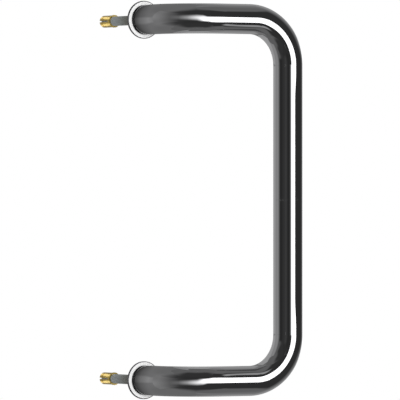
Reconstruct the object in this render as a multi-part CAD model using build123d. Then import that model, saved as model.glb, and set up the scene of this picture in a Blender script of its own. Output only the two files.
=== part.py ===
"""Offset pull handle for a door: one bent bar on two studded feet.

The door's face is the XZ plane at y = 0. The handle stands out from it towards -Y, its grip lies
to the right of the fixings at +X, and its studs and sleeves run into the door towards +Y. The
origin is on the door's face, midway between the two fixings. Sizes are in millimetres.
"""
from build123d import *
import os

# Handle bar, bent from one length of round stock
FIXING_CENTRES = 300.0
BAR_DIAMETER = 25.0
BEND_RADIUS = 38.0
FOOT_STRAIGHT = 22.0
ARM_STRAIGHT = 27.5
BAR_END_CHAMFER = 0.4
TAPPED_DEPTH = 18.0
DRILL_POINT_LENGTH = 2.2

# Rose under each foot
ROSE_MARGIN = 3.25
ROSE_THICKNESS = 1.5
ROSE_EDGE_BREAK = 0.7
ROSE_HOLE_CLEARANCE = 0.2

# Stud: nominal size where it is free, pitch size where it is screwed in
STUD_DIAMETER = 8.0
STUD_PITCH_DIAMETER = 7.2
STUD_FREE_LENGTH = 48.0
STUD_IN_BAR = 15.0
STUD_SHORT_OF_NOSE = 0.5
STUD_TIP_CHAMFER = 0.8
THREAD_CLEARANCE = 0.05

# Slit brass sleeve on the far end of each stud
SLEEVE_DIAMETER = 10.0
SLEEVE_LENGTH = 17.0
COLLAR_RISE = 0.3
COLLAR_WIDTH = 1.2
SLEEVE_NOSE_CHAMFER = 0.6
GROOVE_FROM_NOSE = 4.0
GROOVE_WIDTH = 0.8
GROOVE_DEPTH = 0.35
SLIT_WIDTH = 1.2
UNSLIT_LENGTH = 3.0

# Places along the fixing axis, measured from the door's face
rose_front = -ROSE_THICKNESS
sleeve_mouth = STUD_FREE_LENGTH
sleeve_nose = sleeve_mouth + SLEEVE_LENGTH

# Places of the bar's centre line
grip_offset = 2 * BEND_RADIUS + ARM_STRAIGHT
grip_depth = rose_front - FOOT_STRAIGHT - BEND_RADIUS
fixing_height = FIXING_CENTRES / 2


def turned(*half_profile):
    """Turn a piece about the fixing axis from the (radius, distance) corners of its half section."""
    section = make_face(Polyline(*half_profile, close=True))
    return revolve(section, Axis.Y)


def handle_bar():
    """The bar: from one foot through its crank, arm and corner to the grip, and back the same way."""
    path = FilletPolyline(
        (0, rose_front, fixing_height),
        (0, grip_depth, fixing_height),
        (grip_offset, grip_depth, fixing_height),
        (grip_offset, grip_depth, -fixing_height),
        (0, grip_depth, -fixing_height),
        (0, rose_front, -fixing_height),
        radius=BEND_RADIUS,
    )
    foot_plane = Plane(origin=path @ 0, z_dir=path % 0)
    bar = sweep(foot_plane * Circle(BAR_DIAMETER / 2), path=path)
    foot_rims = [foot_end.outer_wire().edge() for foot_end in bar.faces().filter_by(Axis.Y)]
    bar = chamfer(foot_rims, BAR_END_CHAMFER)
    for height in (fixing_height, -fixing_height):
        bar -= Pos(0, 0, height) * tapped_hole()
    return bar


def tapped_hole():
    """The blind hole in each foot that takes the stud, with the drill's point at its bottom."""
    bore = STUD_PITCH_DIAMETER / 2 + THREAD_CLEARANCE
    bottom = rose_front - TAPPED_DEPTH
    return turned((0, rose_front), (bore, rose_front), (bore, bottom), (0, bottom - DRILL_POINT_LENGTH))


def rose():
    """The flat turned disc between the bar's end and the door, its front edge bevelled."""
    outer = BAR_DIAMETER / 2 + ROSE_MARGIN
    hole = STUD_DIAMETER / 2 + ROSE_HOLE_CLEARANCE
    return turned(
        (hole, rose_front),
        (outer - ROSE_EDGE_BREAK, rose_front),
        (outer, rose_front + ROSE_EDGE_BREAK),
        (outer, 0),
        (hole, 0),
    )


def stud():
    """The stud: a free length across the door between two ends that are screwed in."""
    free = STUD_DIAMETER / 2
    screwed = STUD_PITCH_DIAMETER / 2
    bar_tip = rose_front - STUD_IN_BAR
    sleeve_tip = sleeve_nose - STUD_SHORT_OF_NOSE
    return turned(
        (0, bar_tip),
        (screwed - STUD_TIP_CHAMFER, bar_tip),
        (screwed, bar_tip + STUD_TIP_CHAMFER),
        (screwed, 0),
        (free, 0),
        (free, sleeve_mouth),
        (screwed, sleeve_mouth),
        (screwed, sleeve_tip - STUD_TIP_CHAMFER),
        (screwed - STUD_TIP_CHAMFER, sleeve_tip),
        (0, sleeve_tip),
    )


def fixing_sleeve():
    """The brass sleeve: a collar at its mouth, a ring groove and two crossing saw cuts at its nose."""
    outer = SLEEVE_DIAMETER / 2
    collar = outer + COLLAR_RISE
    bore = STUD_PITCH_DIAMETER / 2 + THREAD_CLEARANCE
    collar_end = sleeve_mouth + COLLAR_WIDTH
    groove_floor = outer - GROOVE_DEPTH
    groove_end = sleeve_nose - GROOVE_FROM_NOSE
    groove_start = groove_end - GROOVE_WIDTH
    body = turned(
        (bore, sleeve_mouth),
        (collar, sleeve_mouth),
        (collar, collar_end),
        (outer, collar_end),
        (outer, groove_start),
        (groove_floor, groove_start),
        (groove_floor, groove_end),
        (outer, groove_end),
        (outer, sleeve_nose - SLEEVE_NOSE_CHAMFER),
        (outer - SLEEVE_NOSE_CHAMFER, sleeve_nose),
        (bore, sleeve_nose),
    )
    # The turned body's seam goes midway between two cuts, so that no cut splits it
    seam_turn = Rot(0, 45, 0)
    slit_start = Pos(0, sleeve_mouth + UNSLIT_LENGTH, 0)
    slit_end = (Align.CENTER, Align.MIN, Align.CENTER)
    across = 2 * collar
    level_cut = slit_start * Box(across, SLEEVE_LENGTH, SLIT_WIDTH, align=slit_end)
    upright_cut = slit_start * Box(SLIT_WIDTH, SLEEVE_LENGTH, across, align=slit_end)
    return seam_turn * body - level_cut - upright_cut


os.makedirs("parts", exist_ok=True)
export_step(handle_bar(), "parts/handle_bar.step")
fixings = {"rose": rose(), "stud": stud(), "fixing_sleeve": fixing_sleeve()}
for end, height in (("upper", fixing_height), ("lower", -fixing_height)):
    for name, piece in fixings.items():
        export_step(Pos(0, 0, height) * piece, f"parts/{end}_{name}.step")
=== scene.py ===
import math

import bpy
import numpy as np
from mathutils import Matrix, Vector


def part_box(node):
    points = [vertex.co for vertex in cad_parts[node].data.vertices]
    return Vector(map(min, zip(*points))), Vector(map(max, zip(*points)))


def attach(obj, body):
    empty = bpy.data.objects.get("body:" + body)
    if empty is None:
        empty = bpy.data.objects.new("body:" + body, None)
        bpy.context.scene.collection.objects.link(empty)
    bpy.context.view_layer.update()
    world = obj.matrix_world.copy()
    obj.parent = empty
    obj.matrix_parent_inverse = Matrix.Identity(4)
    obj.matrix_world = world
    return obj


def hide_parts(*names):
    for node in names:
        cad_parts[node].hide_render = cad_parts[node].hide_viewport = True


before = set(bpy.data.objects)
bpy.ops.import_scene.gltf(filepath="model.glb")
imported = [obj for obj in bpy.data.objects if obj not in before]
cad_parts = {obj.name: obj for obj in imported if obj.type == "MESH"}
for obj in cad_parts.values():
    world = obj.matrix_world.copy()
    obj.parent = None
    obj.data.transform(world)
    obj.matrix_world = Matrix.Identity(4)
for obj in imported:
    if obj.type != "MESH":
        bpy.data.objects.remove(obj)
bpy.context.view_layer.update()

# Handle bar
# One length of solid 25 mm round bar, bent four times into a crank, an arm and a corner at each end, then
# polished along its length to a mirror. The studs pull its two tapped feet tight against the roses.
BAR_RADIUS = 0.0125
BEND_RADIUS = 0.038
FOOT_STRAIGHT = 0.022
BAR_EDGE_BREAK = 0.0004
TAPPED_RADIUS = 0.00365
TAPPED_DEPTH = 0.018
SKIN_INSIDE = 0.00004
BAR_COLUMNS = 144
BEND_STEPS = 64
BAR_BRIGHT = (0.64, 0.64, 0.65, 1.0)
BAR_CLOUDED = (0.60, 0.60, 0.61, 1.0)
BAR_LINE_SPACING = (240.0, 30.0, 1.0)
# Painted shade at the feet: a dark colour and a dimmed edge tint, faded in over a length from each foot's end
FOOT_PAINTED_SHADE = (0.035, 0.035, 0.036, 1.0)
FOOT_SHADED_EDGE_TINT = (0.4, 0.4, 0.4, 1.0)
FULL_EDGE_TINT = (1.0, 1.0, 1.0, 1.0)
FADE_LENGTH = 0.03
BAND_END = 0.0043
FADE_STOPS = ((0.0048, 0.2), (0.009, 0.4), (0.014, 0.67))
FADE_END = 0.0255

_, bar_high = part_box("handle_bar")
fixing_height = bar_high.z - BAR_RADIUS
grip_offset = bar_high.x - BAR_RADIUS
foot_end = bar_high.y
grip_depth = foot_end - FOOT_STRAIGHT - BEND_RADIUS


def bent_line(corners, bend_radius, steps):
    """Centre line of a bar with right-angled bends, and the two axes of its section along the way.

    Between straight runs, a bend from direction a to direction b has its centre one radius back along a
    and one radius on along b, and the section's axes turn with the direction: a part along a moves
    towards b, a part along b moves towards -a, and the rest stays.
    """
    corners = np.array(corners)
    runs = np.diff(corners, axis=0)
    directions = runs / np.linalg.norm(runs, axis=1, keepdims=True)
    angle = np.linspace(0.0, np.pi / 2, steps)[:, None]
    axes = [np.array((1.0, 0.0, 0.0)), np.array((0.0, 0.0, 1.0))]
    places = [corners[:1]]
    along_first = [axes[0][None]]
    along_second = [axes[1][None]]
    for corner, a, b in zip(corners[1:-1], directions[:-1], directions[1:]):
        centre = corner + bend_radius * (b - a)
        places.append(centre + bend_radius * (a * np.sin(angle) - b * np.cos(angle)))
        turned_a = a * np.cos(angle) + b * np.sin(angle)
        turned_b = b * np.cos(angle) - a * np.sin(angle)
        for number, collected in enumerate((along_first, along_second)):
            axis = axes[number]
            still = axis - (axis @ a) * a - (axis @ b) * b
            carried = (axis @ a) * turned_a + (axis @ b) * turned_b + still
            collected.append(carried)
            axes[number] = carried[-1]
    places.append(corners[-1:])
    along_first.append(axes[0][None])
    along_second.append(axes[1][None])
    return np.concatenate(places), np.concatenate(along_first), np.concatenate(along_second)


def bar_surface():
    """A circle carried along the bent centre line, with a small bevel and a blind hole at each foot.

    Place = centre line + radius x (cosine of the round angle x first axis + sine x second axis). The radius
    is a hair less than the bar's, so that the round skin stays inside the box of the flat facets.
    """
    corners = (
        (0.0, foot_end, fixing_height),
        (0.0, grip_depth, fixing_height),
        (grip_offset, grip_depth, fixing_height),
        (grip_offset, grip_depth, -fixing_height),
        (0.0, grip_depth, -fixing_height),
        (0.0, foot_end, -fixing_height),
    )
    line, first, second = bent_line(corners, BEND_RADIUS, BEND_STEPS)
    last = len(line) - 1
    rows = np.r_[0, 0, 0, 0:len(line), last, last, last]
    line, first, second = line[rows], first[rows], second[rows]
    hole_bottoms, hole_mouths, rims, edges = [0, -1], [1, -2], [2, -3], [3, -4]
    line[hole_bottoms, 1] -= TAPPED_DEPTH
    line[edges, 1] -= BAR_EDGE_BREAK
    radius = np.full(len(line), BAR_RADIUS - SKIN_INSIDE)
    radius[rims] -= BAR_EDGE_BREAK
    radius[hole_bottoms + hole_mouths] = TAPPED_RADIUS
    angle = np.linspace(0.0, 2 * np.pi, BAR_COLUMNS, endpoint=False)[None, :, None]
    spokes = np.cos(angle) * first[:, None] + np.sin(angle) * second[:, None]
    return line[:, None] + radius[:, None, None] * spokes


def skin(grid, ends):
    """Places, faces and lay of a closed skin on a grid with rows along the piece and columns round it.

    A face joins two neighbouring rows and columns. The lay is the flat pattern's place at each face corner:
    the share of the way round, and the distance along the rows. A ring's last row joins its first, and a
    fan fills each end row from its middle.
    """
    rows, columns = grid.shape[:2]
    index = np.arange(rows * columns).reshape(rows, columns)
    places = grid.reshape(-1, 3)
    loop = np.concatenate((grid, grid[:1]))
    along = np.cumsum(np.linalg.norm(np.diff(loop, axis=0), axis=2).mean(axis=1))
    along = np.r_[0.0, along]
    if ends == "ring":
        index = np.concatenate((index, index[:1]))
    beside = np.roll(index, -1, axis=1)
    quads = np.stack((index[:-1], beside[:-1], beside[1:], index[1:]), axis=-1)
    share = np.arange(columns + 1) / columns
    lay_round = np.stack((share[:-1], share[1:], share[1:], share[:-1]), axis=-1)[None]
    low, high = along[:len(index) - 1], along[1:len(index)]
    lay_along = np.stack((low, low, high, high), axis=-1)[:, None]
    lay = np.stack(np.broadcast_arrays(lay_round, lay_along), axis=-1).reshape(-1, 2)
    caps = []
    if ends == "fan":
        start = np.full(columns, len(places))
        places = np.concatenate((places, grid[:1].mean(axis=1), grid[-1:].mean(axis=1)))
        caps += np.stack((start, beside[0], index[0]), axis=-1).tolist()
        caps += np.stack((start + 1, index[-1], beside[-1]), axis=-1).tolist()
    corners = sum(len(cap) for cap in caps)
    return places, quads.reshape(-1, 4).tolist() + caps, np.concatenate((lay, np.zeros((corners, 2))))


def made(name, closed_skin, sharp_angle):
    """One mesh object from a closed skin, smooth except where faces meet at more than the sharp angle."""
    places, faces, pattern = closed_skin
    mesh = bpy.data.meshes.new(name)
    mesh.from_pydata(places.tolist(), [], faces)
    lay = mesh.uv_layers.new(name="lay")
    lay.data.foreach_set("uv", pattern.ravel())
    mesh.shade_smooth()
    mesh.set_sharp_from_angle(angle=math.radians(sharp_angle))
    piece = bpy.data.objects.new(name, mesh)
    bpy.context.scene.collection.objects.link(piece)
    return piece


def fill(material, socket, value):
    """Link a socket of a material to another socket, or set it to a plain value."""
    if isinstance(value, bpy.types.NodeSocket):
        material.node_tree.links.new(value, socket)
    else:
        socket.default_value = value


def finish(name):
    """A new material, its Principled shader, and a function that adds a node and fills its inputs."""
    material = bpy.data.materials.new(name)
    material.use_nodes = True
    tree = material.node_tree

    def add(kind, settings=(), **inputs):
        """Add a node with these settings, and link or set its inputs, whose names have _ for a space."""
        node = tree.nodes.new(kind)
        for key, value in dict(settings).items():
            setattr(node, key, value)
        for key, value in inputs.items():
            fill(material, node.inputs[key.replace("_", " ")], value)
        return node

    return material, tree.nodes["Principled BSDF"], add


# A mix node's colour sockets go by number, because their names repeat
MIX_FIRST = 6
MIX_SECOND = 7
MIX_RESULT = 2


def between(material, add, share, first, second):
    """A colour that goes from the first to the second as the share goes from 0 to 1."""
    mix = add("ShaderNodeMix", {"data_type": "RGBA"}, Factor=share)
    fill(material, mix.inputs[MIX_FIRST], first)
    fill(material, mix.inputs[MIX_SECOND], second)
    return mix.outputs[MIX_RESULT]


def drifting(material, add, first, second, scale, detail):
    """A colour that drifts between two in soft clouds: noise on the place in the piece is the share."""
    place = add("ShaderNodeTexCoord").outputs["Object"]
    clouds = add("ShaderNodeTexNoise", Vector=place, Scale=scale, Detail=detail).outputs["Fac"]
    return between(material, add, clouds, first, second)


def rougher(add, noise, smooth, worn):
    """Roughness that goes from smooth to worn over the middle of the noise."""
    spread = add("ShaderNodeMapRange", Value=noise, From_Min=0.3, From_Max=0.7, To_Min=smooth, To_Max=worn)
    return spread.outputs["Result"]


def lined(add, spacing, detail):
    """Fine tool or polishing lines: noise on the lay, with spacing steps round and along the piece."""
    lay = add("ShaderNodeUVMap", {"uv_map": "lay"}).outputs["UV"]
    stretched = add("ShaderNodeMapping", Vector=lay, Scale=spacing).outputs["Vector"]
    return add("ShaderNodeTexNoise", Vector=stretched, Scale=1.0, Detail=detail).outputs["Fac"]


def polished(name, bright, clouded, spacing, smooth, worn):
    """Mirror-polished metal: faint clouds in its colour, and fine polishing lines in its gloss."""
    material, shader, add = finish(name)
    shader.inputs["Metallic"].default_value = 1.0
    colour = drifting(material, add, bright, clouded, scale=35.0, detail=3.0)
    fill(material, shader.inputs["Base Color"], colour)
    gloss = rougher(add, lined(add, spacing, detail=3.0), smooth, worn)
    fill(material, shader.inputs["Roughness"], gloss)
    return material, shader, add


bar_skin = skin(bar_surface(), "fan")
bar_lay = bar_skin[2]
handle_bar = made("handle_bar_polished", bar_skin, sharp_angle=30)
chrome, chrome_shader, add = polished(
    "polished_bar", BAR_BRIGHT, BAR_CLOUDED, BAR_LINE_SPACING, smooth=0.02, worn=0.06
)

# Painted shade: the bar's colour and the tint of its reflections darken towards each foot, and a dark painted
# shadow band lies at its end against the rose
lay = add("ShaderNodeUVMap", {"uv_map": "lay"}).outputs["UV"]
from_upper_end = add("ShaderNodeSeparateXYZ", Vector=lay).outputs["Y"]
from_lower_end = add("ShaderNodeMath", {"operation": "SUBTRACT"})
from_lower_end.inputs[0].default_value = bar_lay[:, 1].max()
fill(chrome, from_lower_end.inputs[1], from_upper_end)
from_end = add("ShaderNodeMath", {"operation": "MINIMUM"})
fill(chrome, from_end.inputs[0], from_upper_end)
fill(chrome, from_end.inputs[1], from_lower_end.outputs[0])
rim_place = TAPPED_DEPTH + BAR_RADIUS - BAR_EDGE_BREAK - TAPPED_RADIUS
from_foot = add(
    "ShaderNodeMapRange",
    Value=from_end.outputs[0],
    From_Min=rim_place,
    From_Max=rim_place + FADE_LENGTH,
)
foot_shade_ramp = add("ShaderNodeValToRGB", Fac=from_foot.outputs["Result"])
stops = foot_shade_ramp.color_ramp.elements
stops[0].position = BAND_END / FADE_LENGTH
stops[1].position = FADE_END / FADE_LENGTH
for distance, share in FADE_STOPS:
    stop = stops.new(distance / FADE_LENGTH)
    stop.color = (share, share, share, 1.0)
bar_colour = chrome_shader.inputs["Base Color"].links[0].from_socket
foot_shaded_colour = between(chrome, add, foot_shade_ramp.outputs["Color"], FOOT_PAINTED_SHADE, bar_colour)
fill(chrome, chrome_shader.inputs["Base Color"], foot_shaded_colour)
shaded_edge_tint = between(chrome, add, foot_shade_ramp.outputs["Color"], FOOT_SHADED_EDGE_TINT, FULL_EDGE_TINT)
fill(chrome, chrome_shader.inputs["Specular Tint"], shaded_edge_tint)
handle_bar.data.materials.append(chrome)
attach(handle_bar, "root")
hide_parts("handle_bar")

# Roses
# Thin turned discs that the feet stand on, with a white satin face and a polished, rounded edge. The stud
# passes through the hole in the middle, and the bar's end clamps the disc to the door.
ROSE_EDGE_ROUND = 0.0007
ROSE_EDGE_STEPS = 7
ROSE_HOLE = 0.0042
ROSE_COLUMNS = 160
ROSE_EDGE_BRIGHT = (0.32, 0.32, 0.33, 1.0)
ROSE_EDGE_CLOUDED = (0.26, 0.26, 0.27, 1.0)
ROSE_FACE_WHITE = (0.96, 0.96, 0.96, 1.0)
ROSE_FACE_PALE = (0.94, 0.94, 0.94, 1.0)
ROSE_LINE_SPACING = (12.0, 4000.0, 1.0)
FIXING_ENDS = (("upper", 1.0), ("lower", -1.0))
rose_low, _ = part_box("upper_rose")
rose_outer = -rose_low.x


def turned(profile, columns, height):
    """A profile of (radius, distance along the fixing axis) rows turned about that axis at a height.

    Place = (radius x sine of the round angle, distance, height + radius x cosine of the round angle).
    """
    radius, distance = np.array(profile).T[:, :, None]
    angle = np.linspace(0.0, 2 * np.pi, columns, endpoint=False)
    across, up = radius * np.sin(angle), radius * np.cos(angle)
    return np.stack((across, np.broadcast_to(distance, across.shape), height + up), axis=-1)


def rose_profile():
    """Face, rounded edge, side and back of the rose, as (radius, distance) rows.

    The edge is a quarter circle from the face to the side.
    """
    angle = np.linspace(0.0, np.pi / 2, ROSE_EDGE_STEPS)
    edge = np.column_stack((
        rose_outer - ROSE_EDGE_ROUND * (1 - np.sin(angle)),
        foot_end + ROSE_EDGE_ROUND * (1 - np.cos(angle)),
    ))
    return np.concatenate(([(ROSE_HOLE, foot_end)], edge, [(rose_outer, 0.0), (ROSE_HOLE, 0.0)]))


def second_finish(piece, columns, rows):
    """Give a piece's second material to the faces between some of its rows and the next ones."""
    number = np.zeros(len(piece.data.polygons), dtype=np.int32)
    row = np.arange(len(number)) // columns
    number[np.isin(row, rows)] = 1
    piece.data.polygons.foreach_set("material_index", number)


satin, satin_shader, add = finish("satin_rose_face")
face_colour = drifting(satin, add, ROSE_FACE_WHITE, ROSE_FACE_PALE, scale=120.0, detail=3.0)
fill(satin, satin_shader.inputs["Base Color"], face_colour)
sheen = rougher(add, lined(add, ROSE_LINE_SPACING, detail=2.0), smooth=0.3, worn=0.42)
fill(satin, satin_shader.inputs["Roughness"], sheen)
rose_edge, _, _ = polished(
    "polished_rose", ROSE_EDGE_BRIGHT, ROSE_EDGE_CLOUDED, ROSE_LINE_SPACING, smooth=0.05, worn=0.12
)

# All but the first row of faces, which is the front: the edge, the side, the back and the hole
metal_rows = range(1, ROSE_EDGE_STEPS + 3)
for end, sign in FIXING_ENDS:
    disc = turned(rose_profile(), ROSE_COLUMNS, sign * fixing_height)
    rose = made(f"{end}_rose_turned", skin(disc, "ring"), sharp_angle=30)
    rose.data.materials.append(satin)
    rose.data.materials.append(rose_edge)
    second_finish(rose, ROSE_COLUMNS, metal_rows)
    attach(rose, "root")
    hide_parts(f"{end}_rose")

# Studs
# Lengths of rolled M8 thread in plain steel with a dull grey plating, painted darker as shade near the roses,
# and screwed into the bar's feet. They run through the roses and the door, and their far ends take the brass
# sleeves.
THREAD_PITCH = 0.00125
THREAD_DEPTH = 0.000765
THREAD_CREST = 0.1
THREAD_FLANK = 0.8
THREAD_ROWS_EACH_PITCH = 12
THREAD_COLUMNS = 40
STUD_SCREWED_RADIUS = 0.0036
STUD_TIP_BEVEL = 0.0008
ZINC_PALE = (0.46, 0.49, 0.49, 1.0)
ZINC_DARK = (0.36, 0.385, 0.38, 1.0)
# Painted shade: the stud's colour near the rose, where the rose and bar shade it
ZINC_PAINTED_SHADE = (0.22, 0.22, 0.20, 1.0)
PAINTED_SHADE_LENGTH = 0.022
PAINTED_SHADE_END = 0.042
stud_low, stud_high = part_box("upper_stud")
stud_radius = stud_high.x
sleeve_low, sleeve_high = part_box("upper_fixing_sleeve")
stud_free_end = sleeve_low.y


def soft_step(value, low, high):
    """0 below low, 1 above high, and a soft step between."""
    share = np.clip((value - low) / (high - low), 0.0, 1.0)
    return share * share * (3 - 2 * share)


def stud_surface(height):
    """The stud: plain screwed ends, and a thread on the free length between them.

    On the thread, radius = outside radius - depth x groove, where groove is a soft step of the distance
    from the crest, and the crest moves on by one pitch each turn. The thread runs out over a pitch.
    """
    rows = int(round(stud_free_end / THREAD_PITCH * THREAD_ROWS_EACH_PITCH))
    distance = np.linspace(0.0, stud_free_end, rows)[:, None]
    angle = np.linspace(0.0, 2 * np.pi, THREAD_COLUMNS, endpoint=False)[None]
    turns = distance / THREAD_PITCH - angle / (2 * np.pi)
    from_crest = 1 - np.abs(2 * (turns - np.floor(turns)) - 1)
    groove = soft_step(from_crest, THREAD_CREST, THREAD_FLANK)
    run_in = soft_step(distance, 0.0, THREAD_PITCH)
    run_out = soft_step(-distance, -stud_free_end, THREAD_PITCH - stud_free_end)
    thread = stud_radius - THREAD_DEPTH * groove * (run_in * run_out)
    tip = STUD_SCREWED_RADIUS - STUD_TIP_BEVEL
    bar_end = np.array((
        (tip, stud_low.y),
        (STUD_SCREWED_RADIUS, stud_low.y + STUD_TIP_BEVEL),
        (STUD_SCREWED_RADIUS, 0.0),
    ))
    sleeve_end = np.array((
        (STUD_SCREWED_RADIUS, stud_free_end),
        (STUD_SCREWED_RADIUS, stud_high.y - STUD_TIP_BEVEL),
        (tip, stud_high.y),
    ))
    wide = np.ones((1, THREAD_COLUMNS))
    radius = np.concatenate((bar_end[:, :1] * wide, thread, sleeve_end[:, :1] * wide))
    distance = np.concatenate((bar_end[:, 1:], distance, sleeve_end[:, 1:])) * wide
    return np.stack((radius * np.sin(angle), distance, height + radius * np.cos(angle)), axis=-1)


zinc, zinc_shader, add = finish("dull_steel")
zinc_shader.inputs["Metallic"].default_value = 0.6
plating = drifting(zinc, add, ZINC_PALE, ZINC_DARK, scale=220.0, detail=4.0)
# Painted shade near the rose: the shade tone holds up to the first distance from the rose and fades into the
# plating by the second
place = add("ShaderNodeTexCoord").outputs["Object"]
from_rose = add("ShaderNodeSeparateXYZ", Vector=place).outputs["Y"]
out_of_shade = add("ShaderNodeMapRange", Value=from_rose, From_Min=PAINTED_SHADE_LENGTH, From_Max=PAINTED_SHADE_END)
stud_colour = between(zinc, add, out_of_shade.outputs["Result"], ZINC_PAINTED_SHADE, plating)
fill(zinc, zinc_shader.inputs["Base Color"], stud_colour)
frost = add("ShaderNodeTexNoise", Vector=place, Scale=900.0, Detail=3.0).outputs["Fac"]
fill(zinc, zinc_shader.inputs["Roughness"], rougher(add, frost, smooth=0.42, worn=0.6))
for end, sign in FIXING_ENDS:
    threaded = stud_surface(sign * fixing_height)
    stud = made(f"{end}_stud_threaded", skin(threaded, "fan"), sharp_angle=40)
    stud.data.materials.append(zinc)
    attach(stud, "root")
    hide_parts(f"{end}_stud")

# Fixing sleeves
# Turned brass sleeves on the studs' far ends. Each has a collar at its mouth, a ring groove and two crossing
# saw cuts from its nose that leave four jaws. Screwed on, they open in the drilled hole and grip it.
SLEEVE_BORE = 0.00365
SLEEVE_RADIUS = 0.005
COLLAR_WIDTH = 0.0012
UNCUT_LENGTH = 0.003
CUT_HALF_WIDTH = 0.0006
GROOVE_FROM_NOSE = 0.004
GROOVE_WIDTH = 0.0008
GROOVE_DEPTH = 0.00035
NOSE_BEVEL = 0.0006
BORE_STEP = 0.0002
JAWS = 4
JAW_STEPS = 25
CUT_STEPS = 2
BRASS_BRIGHT = (0.92, 0.69, 0.22, 1.0)
BRASS_TARNISHED = (0.70, 0.50, 0.11, 1.0)
BRASS_LINE_SPACING = (2.0, 5000.0, 1.0)
collar_radius = sleeve_high.x
sleeve_mouth, sleeve_nose = sleeve_low.y, sleeve_high.y
cut_bottom = sleeve_mouth + UNCUT_LENGTH
collar_end = sleeve_mouth + COLLAR_WIDTH
groove_end = sleeve_nose - GROOVE_FROM_NOSE
groove_start = groove_end - GROOVE_WIDTH


def sleeve_skin(height):
    """The sleeve as one closed skin: a turned ring at its mouth, and four jaws that grow from its end.

    A jaw's side stays half a cut's width from the cut's middle, so its angle is the arc sine of that over the
    radius, and the ring's columns follow the same angles. Place = (radius x sine of the angle, distance,
    height + radius x cosine of the angle). A jaw's rows are arches, over the outside and back on the bore,
    each with an outer radius, an outer distance and a distance on the bore.
    """
    ring = np.array((
        (SLEEVE_BORE, cut_bottom),
        (SLEEVE_BORE, sleeve_mouth),
        (collar_radius, sleeve_mouth),
        (collar_radius, collar_end),
        (SLEEVE_RADIUS, collar_end),
        (SLEEVE_RADIUS, cut_bottom),
    ))
    jaw = np.array((
        (SLEEVE_RADIUS, groove_start, groove_start - BORE_STEP),
        (SLEEVE_RADIUS - GROOVE_DEPTH, groove_start, groove_start + BORE_STEP),
        (SLEEVE_RADIUS - GROOVE_DEPTH, groove_end, groove_end - BORE_STEP),
        (SLEEVE_RADIUS, groove_end, groove_end + BORE_STEP),
        (SLEEVE_RADIUS, sleeve_nose - NOSE_BEVEL, sleeve_nose - NOSE_BEVEL),
        (SLEEVE_RADIUS - NOSE_BEVEL, sleeve_nose, sleeve_nose),
    ))
    jaw_turn = 2 * np.pi / JAWS
    jaw_starts = np.arange(JAWS)[:, None, None] * jaw_turn
    jaw_share = np.linspace(0.0, 1.0, JAW_STEPS)
    cut_share = np.linspace(-1.0, 1.0, CUT_STEPS + 2)[1:-1]

    def jaw_angles(radius):
        """Angles across every jaw at some radii, evenly from the side of one cut to that of the next."""
        sawn = np.arcsin(CUT_HALF_WIDTH / radius)[:, None]
        return jaw_starts + sawn + (jaw_turn - 2 * sawn) * jaw_share

    sawn = np.arcsin(CUT_HALF_WIDTH / ring[:, 0])[:, None]
    cut_angles = jaw_starts + jaw_turn + sawn * cut_share
    ring_angles = np.concatenate((jaw_angles(ring[:, 0]), cut_angles), axis=2).swapaxes(0, 1)
    bore = np.full(len(jaw), SLEEVE_BORE)
    arch_angles = np.concatenate((jaw_angles(jaw[:, 0]), jaw_angles(bore)[..., ::-1]), axis=2)
    arch_radius = np.repeat(np.column_stack((jaw[:, 0], bore)), JAW_STEPS, axis=1)
    arch_distance = np.repeat(jaw[:, 1:], JAW_STEPS, axis=1)
    angle = np.concatenate((ring_angles.ravel(), arch_angles.ravel()))
    radius = np.concatenate((
        np.broadcast_to(ring[:, 0, None, None], ring_angles.shape).ravel(),
        np.broadcast_to(arch_radius, arch_angles.shape).ravel(),
    ))
    distance = np.concatenate((
        np.broadcast_to(ring[:, 1, None, None], ring_angles.shape).ravel(),
        np.broadcast_to(arch_distance, arch_angles.shape).ravel(),
    ))
    places = np.stack((radius * np.sin(angle), distance, height + radius * np.cos(angle)), axis=-1)

    ring_index = np.arange(ring_angles.size).reshape(ring_angles.shape)
    arch_index = ring_angles.size + np.arange(arch_angles.size).reshape(arch_angles.shape)
    roots = np.concatenate((ring_index[-1, :, :JAW_STEPS], ring_index[0, :, JAW_STEPS - 1::-1]), axis=1)
    arches = np.concatenate((roots[:, None], arch_index), axis=1)
    beside = np.roll(arches, -1, axis=2)
    jaw_faces = np.stack((arches[:, :-1], beside[:, :-1], beside[:, 1:], arches[:, 1:]), axis=-1)
    over, under = arches[:, -1, :JAW_STEPS], arches[:, -1, :JAW_STEPS - 1:-1]
    nose_faces = np.stack((over[:, :-1], over[:, 1:], under[:, 1:], under[:, :-1]), axis=-1)
    rounds = ring_index.reshape(len(ring), -1)
    after = np.roll(rounds, -1, axis=1)
    ring_faces = np.stack((rounds[:-1], after[:-1], after[1:], rounds[1:]), axis=-1)
    cut_faces = np.stack((rounds[-1], after[-1], after[0], rounds[0]), axis=-1)
    cut_faces = cut_faces.reshape(JAWS, -1, 4)[:, JAW_STEPS - 1:]
    groups = (ring_faces, cut_faces, jaw_faces, nose_faces)
    faces = np.concatenate([group.reshape(-1, 4) for group in groups])
    lay = np.stack((angle / (2 * np.pi), distance), axis=-1)
    return places, faces.tolist(), lay[faces.ravel()]


brass, brass_shader, add = finish("brass")
brass_shader.inputs["Metallic"].default_value = 0.95
brass_colour = drifting(brass, add, BRASS_BRIGHT, BRASS_TARNISHED, scale=260.0, detail=4.0)
fill(brass, brass_shader.inputs["Base Color"], brass_colour)
turned_gloss = rougher(add, lined(add, BRASS_LINE_SPACING, detail=2.0), smooth=0.14, worn=0.3)
fill(brass, brass_shader.inputs["Roughness"], turned_gloss)
for end, sign in FIXING_ENDS:
    sleeve = made(f"{end}_sleeve_slit", sleeve_skin(sign * fixing_height), sharp_angle=30)
    sleeve.data.materials.append(brass)
    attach(sleeve, "root")
    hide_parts(f"{end}_fixing_sleeve")

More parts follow.
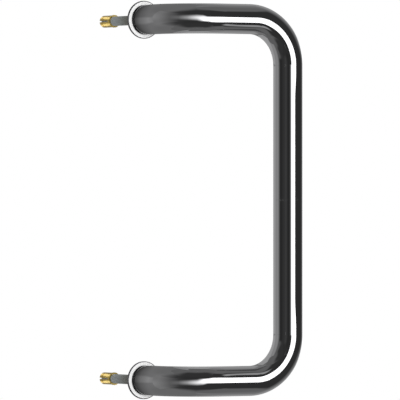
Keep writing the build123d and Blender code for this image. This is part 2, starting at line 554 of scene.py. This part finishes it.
# Studio
# A white room with a pale floor. Grey cards all round, which show only as reflections, give the polished
# metal its dark and light streaks. A tall softbox to the right of the camera, with a small wing by each
# elbow, gives it the white ones.
CAMERA_AZIMUTH = -31.0
FLAG_TONE = 0.035
turn = math.radians(CAMERA_AZIMUTH)
to_camera = np.array((math.sin(turn), -math.cos(turn), 0.0))
to_right = np.array((math.cos(turn), math.sin(turn), 0.0))
upright = np.array((0.0, 0.0, 1.0))

world = bpy.data.worlds.new("white_room")
bpy.context.scene.world = world
world.use_nodes = True
world.node_tree.nodes["Background"].inputs["Color"].default_value = (1.0, 1.0, 1.0, 1.0)
world.node_tree.nodes["Background"].inputs["Strength"].default_value = 1.0


def card(name, grid, tone):
    """A stage surface over a grid of places that glows with the tone at each, seen in reflections only."""
    rows, columns = grid.shape[:2]
    index = np.arange(rows * columns).reshape(rows, columns)
    quads = np.stack((index[:-1, :-1], index[:-1, 1:], index[1:, 1:], index[1:, :-1]), axis=-1)
    mesh = bpy.data.meshes.new(name)
    mesh.from_pydata(grid.reshape(-1, 3).tolist(), [], quads.reshape(-1, 4).tolist())
    glow = mesh.attributes.new("glow", "FLOAT", "POINT")
    glow.data.foreach_set("value", np.ascontiguousarray(np.broadcast_to(tone, (rows, columns)).ravel()))
    material = bpy.data.materials.new(name)
    material.use_nodes = True
    nodes = material.node_tree.nodes
    nodes.clear()
    reading = nodes.new("ShaderNodeAttribute")
    reading.attribute_name = "glow"
    emission = nodes.new("ShaderNodeEmission")
    output = nodes.new("ShaderNodeOutputMaterial")
    fill(material, emission.inputs["Strength"], reading.outputs["Fac"])
    fill(material, output.inputs["Surface"], emission.outputs["Emission"])
    mesh.materials.append(material)
    piece = bpy.data.objects.new(name, mesh)
    bpy.context.scene.collection.objects.link(piece)
    piece.visible_camera = False
    piece.visible_diffuse = False
    piece.visible_shadow = False


def towards(side, height):
    """Directions by the angle from the camera to the right and the angle above the level, in degrees.

    Direction = cosine of the height x (cosine of the side x to the camera + sine x to the right) + sine of
    the height x up.
    """
    side, height = np.radians(side)[..., None], np.radians(height)[..., None]
    level = np.cos(side) * to_camera + np.sin(side) * to_right
    return np.cos(height) * level + np.sin(height) * upright


def facing(across, depth, up):
    """Places of a flat card that stands parallel to the door's face at one depth."""
    return np.stack((across, np.full_like(across, depth), up), axis=-1)


def arc(centre, radius, side, up):
    """Places of a card bent round an upright axis: centre + radius x level direction + height."""
    return centre + radius * towards(side, np.zeros_like(side)) + up[..., None] * upright


def between_stops(value, stops):
    """Straight lines between stops of (value, result)."""
    values, results = zip(*stops)
    return np.interp(value, values, results)


# Tent: dark in front, grey overhead and behind, and open to the white room on the right behind the grip.
# Its tones go by the angle from the camera, for directions near the level, between, and high or low.
TENT_RADIUS = 1.6
LEVEL_TONES = (
    (-180, 0.2), (-140, 0.28), (-107, 0.35), (-88, 0.28), (-75, 0.15), (-66, 0.04), (-53, 0.03),
    (-37, 0.044), (-25, 0.05), (-13, 0.068), (-6, 0.048), (2, 0.03), (30, 0.035), (110, 0.035),
    (123, 0.13), (135, 0.3), (145, 1.6), (162, 1.6), (170, 0.3), (180, 0.2),
)
MIDDLE_TONES = (
    (-180, 0.2), (-107, 0.23), (-88, 0.25), (-64, 0.14), (-43, 0.055), (-23, 0.04), (105, 0.04),
    (150, 0.36), (172, 0.4), (180, 0.25),
)
HIGH_TONES = ((-180, 0.2), (-64, 0.2), (0, 0.17), (110, 0.17), (155, 0.27), (180, 0.2))
LEVEL_END = 8.0
MIDDLE_START = 18.0
MIDDLE_END = ((-180, 25), (-90, 25), (-43, 45), (0, 58), (40, 55), (70, 44), (180, 46))
HIGH_START = ((-180, 50), (-90, 50), (-43, 72), (0, 85), (40, 70), (70, 50), (180, 54))
side, height = np.meshgrid(np.linspace(-180, 180, 361), np.linspace(-90, 90, 181))
slant = np.abs(height)
level_tone = between_stops(side, LEVEL_TONES)
middle_tone = between_stops(side, MIDDLE_TONES)
high_tone = between_stops(side, HIGH_TONES)
tone = level_tone + (middle_tone - level_tone) * soft_step(slant, LEVEL_END, MIDDLE_START)
high_share = soft_step(slant, between_stops(side, MIDDLE_END), between_stops(side, HIGH_START))
tone = tone + (high_tone - tone) * high_share
card("card_tent", TENT_RADIUS * towards(side, height), tone)

# Softbox: white, in front and to the right, with a soft edge on the left, and wider at its two ends
SOFTBOX_DEPTH = -0.88
SOFTBOX_HALF_HEIGHT = 0.29
SOFTBOX_LEFT = -0.23
SOFTBOX_RIGHT = ((0.11, 0.575), (0.2, 0.63))
SOFTBOX_TONES = ((SOFTBOX_LEFT, 0.03), (-0.1, 0.15), (-0.045, 0.7), (0.01, 1.6), (0.06, 2.3))
softbox_heights = np.linspace(-SOFTBOX_HALF_HEIGHT, SOFTBOX_HALF_HEIGHT, 59)
share, up = np.meshgrid(np.linspace(0.0, 1.0, 162), softbox_heights)
softbox_right = between_stops(np.abs(up), SOFTBOX_RIGHT)
across = SOFTBOX_LEFT + (softbox_right - SOFTBOX_LEFT) * share
card("softbox", facing(across, SOFTBOX_DEPTH, up), between_stops(across, SOFTBOX_TONES))

# Grip flag: dark, close to the grip's straight length, so that it sees less of the softbox than the arms
# do. Its left edge draws back at its two ends.
GRIP_FLAG_DEPTH = -0.2
GRIP_FLAG_HALF_HEIGHT = 0.1125
GRIP_FLAG_LEFT = ((0.088, 0.154), (GRIP_FLAG_HALF_HEIGHT, 0.186))
GRIP_FLAG_RIGHT = 0.45
grip_flag_heights = np.linspace(-GRIP_FLAG_HALF_HEIGHT, GRIP_FLAG_HALF_HEIGHT, 61)
share, up = np.meshgrid(np.linspace(0.0, 1.0, 31), grip_flag_heights)
flag_left = between_stops(np.abs(up), GRIP_FLAG_LEFT)
across = flag_left + (GRIP_FLAG_RIGHT - flag_left) * share
card("grip_flag", facing(across, GRIP_FLAG_DEPTH, up), FLAG_TONE)

# Corner flags: small and dark, close before each corner, so that the white stripe stays narrow round it.
# Its outer edge is level, then rounds off: rise x (1 - share of the round ^ power) ^ (1 / power).
CORNER_FLAG_DEPTH = -0.105
CORNER_FLAG_LEFT = 0.066
CORNER_FLAG_ROUND_START = 0.0842
CORNER_FLAG_RIGHT = 0.0961
CORNER_FLAG_LOW = 0.1128
CORNER_FLAG_RISE = 0.0142
CORNER_FLAG_POWER = 3.2
across, share = np.meshgrid(
    np.linspace(CORNER_FLAG_LEFT, CORNER_FLAG_RIGHT, 61),
    np.linspace(0.0, 1.0, 5),
)
round_share = between_stops(across, ((CORNER_FLAG_ROUND_START, 0.0), (CORNER_FLAG_RIGHT, 1.0)))
flag_rise = CORNER_FLAG_RISE * (1 - round_share ** CORNER_FLAG_POWER) ** (1 / CORNER_FLAG_POWER)
for end, sign in FIXING_ENDS:
    corner_flag = facing(across, CORNER_FLAG_DEPTH, sign * (CORNER_FLAG_LOW + flag_rise * share))
    card(f"{end}_corner_flag", corner_flag, FLAG_TONE)

# Wings: a small arc before each elbow, above or below the grip's reach, that fades out to the left. Its
# light band has a middle and a half width in degrees of slope. The band's edge is a soft step about the half
# width, harder to the right.
WING_RADIUS = 0.08
WING_START = -100
WING_END = 40
WING_LOW = 0.1155
WING_HIGH = 0.205
ELBOW_ACROSS = 0.015
BAND_MIDDLE = ((-60, 7), (0, 5), (15, -4), (24, -8))
BAND_HALF_WIDTH = ((-60, 10), (0, 14), (15, 19), (24, 17))
BAND_HARDNESS = ((0, 0.0), (34, 0.8))
BAND_TONES = (
    (-100, 0.33), (-88, 0.28), (-64, 0.16), (-43, 0.2), (-23, 0.5), (-4, 1.15), (8, 1.6), (15, 2.0),
    (24, 2.3),
)
WING_TONES = ((-100, 0.25), (-88, 0.25), (-64, 0.14), (-43, 0.055), (-23, 0.04))
elbow_front = np.array((ELBOW_ACROSS, grip_depth, 0.0))
side, up = np.meshgrid(np.linspace(WING_START, WING_END, 141), np.linspace(WING_LOW, WING_HIGH, 61))
slope = np.degrees(np.arctan((up - fixing_height) / WING_RADIUS))
from_middle = np.abs(slope - between_stops(side, BAND_MIDDLE)) / between_stops(side, BAND_HALF_WIDTH)
hardness = between_stops(side, BAND_HARDNESS)
band = 1.0 - soft_step(from_middle, hardness, 2.0 - hardness)
wing_tone = between_stops(side, WING_TONES)
tone = wing_tone + (between_stops(side, BAND_TONES) - wing_tone) * band
for end, sign in FIXING_ENDS:
    card(f"{end}_wing", arc(elbow_front, WING_RADIUS, side, sign * up), tone)

# Middle card: a level light patch halfway up that only the arms' inner sides look down or up at
MIDDLE_PLACE = np.array((0.158, -0.184, 0.0))
MIDDLE_TURN = math.radians(45.0)
MIDDLE_HALF_DEPTH = 0.045
MIDDLE_HALF_WIDTH = 0.06
PATCH_HALF_DEPTH = 0.02
PATCH_HALF_WIDTH = 0.03
MIDDLE_TONE = 0.04
PATCH_GLOW = 0.36
away = np.array((math.sin(MIDDLE_TURN), -math.cos(MIDDLE_TURN), 0.0))
aside = np.array((math.cos(MIDDLE_TURN), math.sin(MIDDLE_TURN), 0.0))
out, over = np.meshgrid(
    np.linspace(-MIDDLE_HALF_DEPTH, MIDDLE_HALF_DEPTH, 37),
    np.linspace(-MIDDLE_HALF_WIDTH, MIDDLE_HALF_WIDTH, 25),
)
middle_card = MIDDLE_PLACE + out[..., None] * away + over[..., None] * aside
patch_depth = soft_step(-np.abs(out), -MIDDLE_HALF_DEPTH, -PATCH_HALF_DEPTH)
patch_width = soft_step(-np.abs(over), -MIDDLE_HALF_WIDTH, -PATCH_HALF_WIDTH)
card("middle_card", middle_card, MIDDLE_TONE + PATCH_GLOW * (patch_depth * patch_width))

# Middle flag: level, halfway between the elbows and darkest to the front left, so that neither of them sees
# the other's wing.
MIDDLE_FLAG_REACH = (
    (-180, 0.09), (-110, 0.1), (-70, 0.18), (0, 0.18), (20, 0.1), (50, 0.065), (130, 0.065), (180, 0.09),
)
MIDDLE_FLAG_TONE = 0.16
MIDDLE_FLAG_DARKENING = 0.115
DARK_START = (-105, -65)
DARK_END = (5, 40)
DARK_REACH = (0.02, 0.07)
turn_round, share = np.meshgrid(np.linspace(-180, 180, 241), np.linspace(0.02, 1.0, 49))
reach = share * between_stops(turn_round, MIDDLE_FLAG_REACH)
middle_flag = np.stack((
    elbow_front[0] + reach * np.sin(np.radians(turn_round)),
    elbow_front[1] - reach * np.cos(np.radians(turn_round)),
    np.zeros_like(reach),
), axis=-1)
dark_left = soft_step(turn_round, *DARK_START)
dark_right = soft_step(-turn_round, -DARK_END[1], -DARK_END[0])
darkness = dark_left * dark_right * soft_step(reach, *DARK_REACH)
card("middle_flag", middle_flag, MIDDLE_FLAG_TONE - MIDDLE_FLAG_DARKENING * darkness)

# Side card: pale grey, an arc inside the loop that only the grip's left side looks back at
SIDE_CARD_RADIUS = 0.1
SIDE_CARD_START = -158
SIDE_CARD_END = -66
SIDE_CARD_HALF_HEIGHT = 0.113
SIDE_CARD_TONES = (
    (-158, 0.42), (-133, 0.46), (-116, 0.45), (-103, 0.32), (-91, 0.36), (-81, 0.33), (-71, 0.18),
    (-66, 0.07),
)
grip_middle = np.array((grip_offset, grip_depth, 0.0))
side_card_heights = np.linspace(-SIDE_CARD_HALF_HEIGHT, SIDE_CARD_HALF_HEIGHT, 57)
side, up = np.meshgrid(np.linspace(SIDE_CARD_START, SIDE_CARD_END, 185), side_card_heights)
side_card = arc(grip_middle, SIDE_CARD_RADIUS, side, up)
card("side_card", side_card, between_stops(side, SIDE_CARD_TONES))

# Fixing cards: small and white, behind each sleeve and above and below its axis
FIXING_CARD_DEPTH = 0.088
FIXING_CARD_LEFT = -0.025
FIXING_CARD_RIGHT = 0.0005
FIXING_CARD_NEAR = 0.0155
FIXING_CARD_FAR = 0.026
FIXING_CARD_TONE = 1.3
across, from_axis = np.meshgrid(
    np.linspace(FIXING_CARD_LEFT, FIXING_CARD_RIGHT, 5),
    np.linspace(FIXING_CARD_NEAR, FIXING_CARD_FAR, 5),
)
for end, sign in FIXING_ENDS:
    for place_name, way in (("high", 1.0), ("low", -1.0)):
        fixing_card = facing(across, FIXING_CARD_DEPTH, sign * fixing_height + way * from_axis)
        card(f"{end}_fixing_card_{place_name}", fixing_card, FIXING_CARD_TONE)

# Lamp: one large soft lamp from the front left, which polished metal doesn't mirror
LAMP_DISTANCE = 2.0
LAMP_SIDE = -15.0
LAMP_HEIGHT = 20.0
lamp_light = bpy.data.lights.new("soft_lamp", "AREA")
lamp_light.shape = "DISK"
lamp_light.size = 1.2
lamp_light.energy = 16.0
lamp = bpy.data.objects.new("soft_lamp", lamp_light)
bpy.context.scene.collection.objects.link(lamp)
lamp.location = LAMP_DISTANCE * towards(np.array(LAMP_SIDE), np.array(LAMP_HEIGHT))
lamp.rotation_euler = (math.radians(90.0 - LAMP_HEIGHT), 0.0, turn + math.radians(LAMP_SIDE))
lamp.visible_glossy = False

# Floor: pale and level, far enough below the handle to stay out of the camera's view
FLOOR_HEIGHT = -0.45
FLOOR_HALF = 5.0
FLOOR_PALE = (0.86, 0.86, 0.86, 1.0)
floor_square = np.array(((-1, -1, 0), (1, -1, 0), (1, 1, 0), (-1, 1, 0)))
floor_corners = FLOOR_HALF * floor_square + FLOOR_HEIGHT * upright
floor_mesh = bpy.data.meshes.new("floor")
floor_mesh.from_pydata(floor_corners.tolist(), [], [(0, 1, 2, 3)])
floor = bpy.data.objects.new("floor", floor_mesh)
bpy.context.scene.collection.objects.link(floor)
floor.visible_glossy = False
pale, pale_shader, _ = finish("pale_floor")
pale_shader.inputs["Base Color"].default_value = FLOOR_PALE
pale_shader.inputs["Roughness"].default_value = 0.9
floor_mesh.materials.append(pale)

# Camera
# It stands level with the handle's middle, a long way off to the front left, with a long lens. It looks a
# little to the right of the feet, which puts the handle where the photograph has it.
CAMERA_DISTANCE = 5.0
LENS = 540.8
SENSOR_WIDTH = 36.0
FOOT_LEFT_OF_CENTRE = 0.0462

lens = bpy.data.cameras.new("camera")
lens.lens = LENS
lens.sensor_width = SENSOR_WIDTH
camera = bpy.data.objects.new("camera", lens)
bpy.context.scene.collection.objects.link(camera)
aim = np.array((0.0, foot_end, 0.0)) + FOOT_LEFT_OF_CENTRE * to_right
camera.location = aim + CAMERA_DISTANCE * to_camera
camera.rotation_euler = (math.pi / 2, 0.0, turn)
bpy.context.scene.camera = camera
bpy.context.scene.view_settings.view_transform = "Standard"
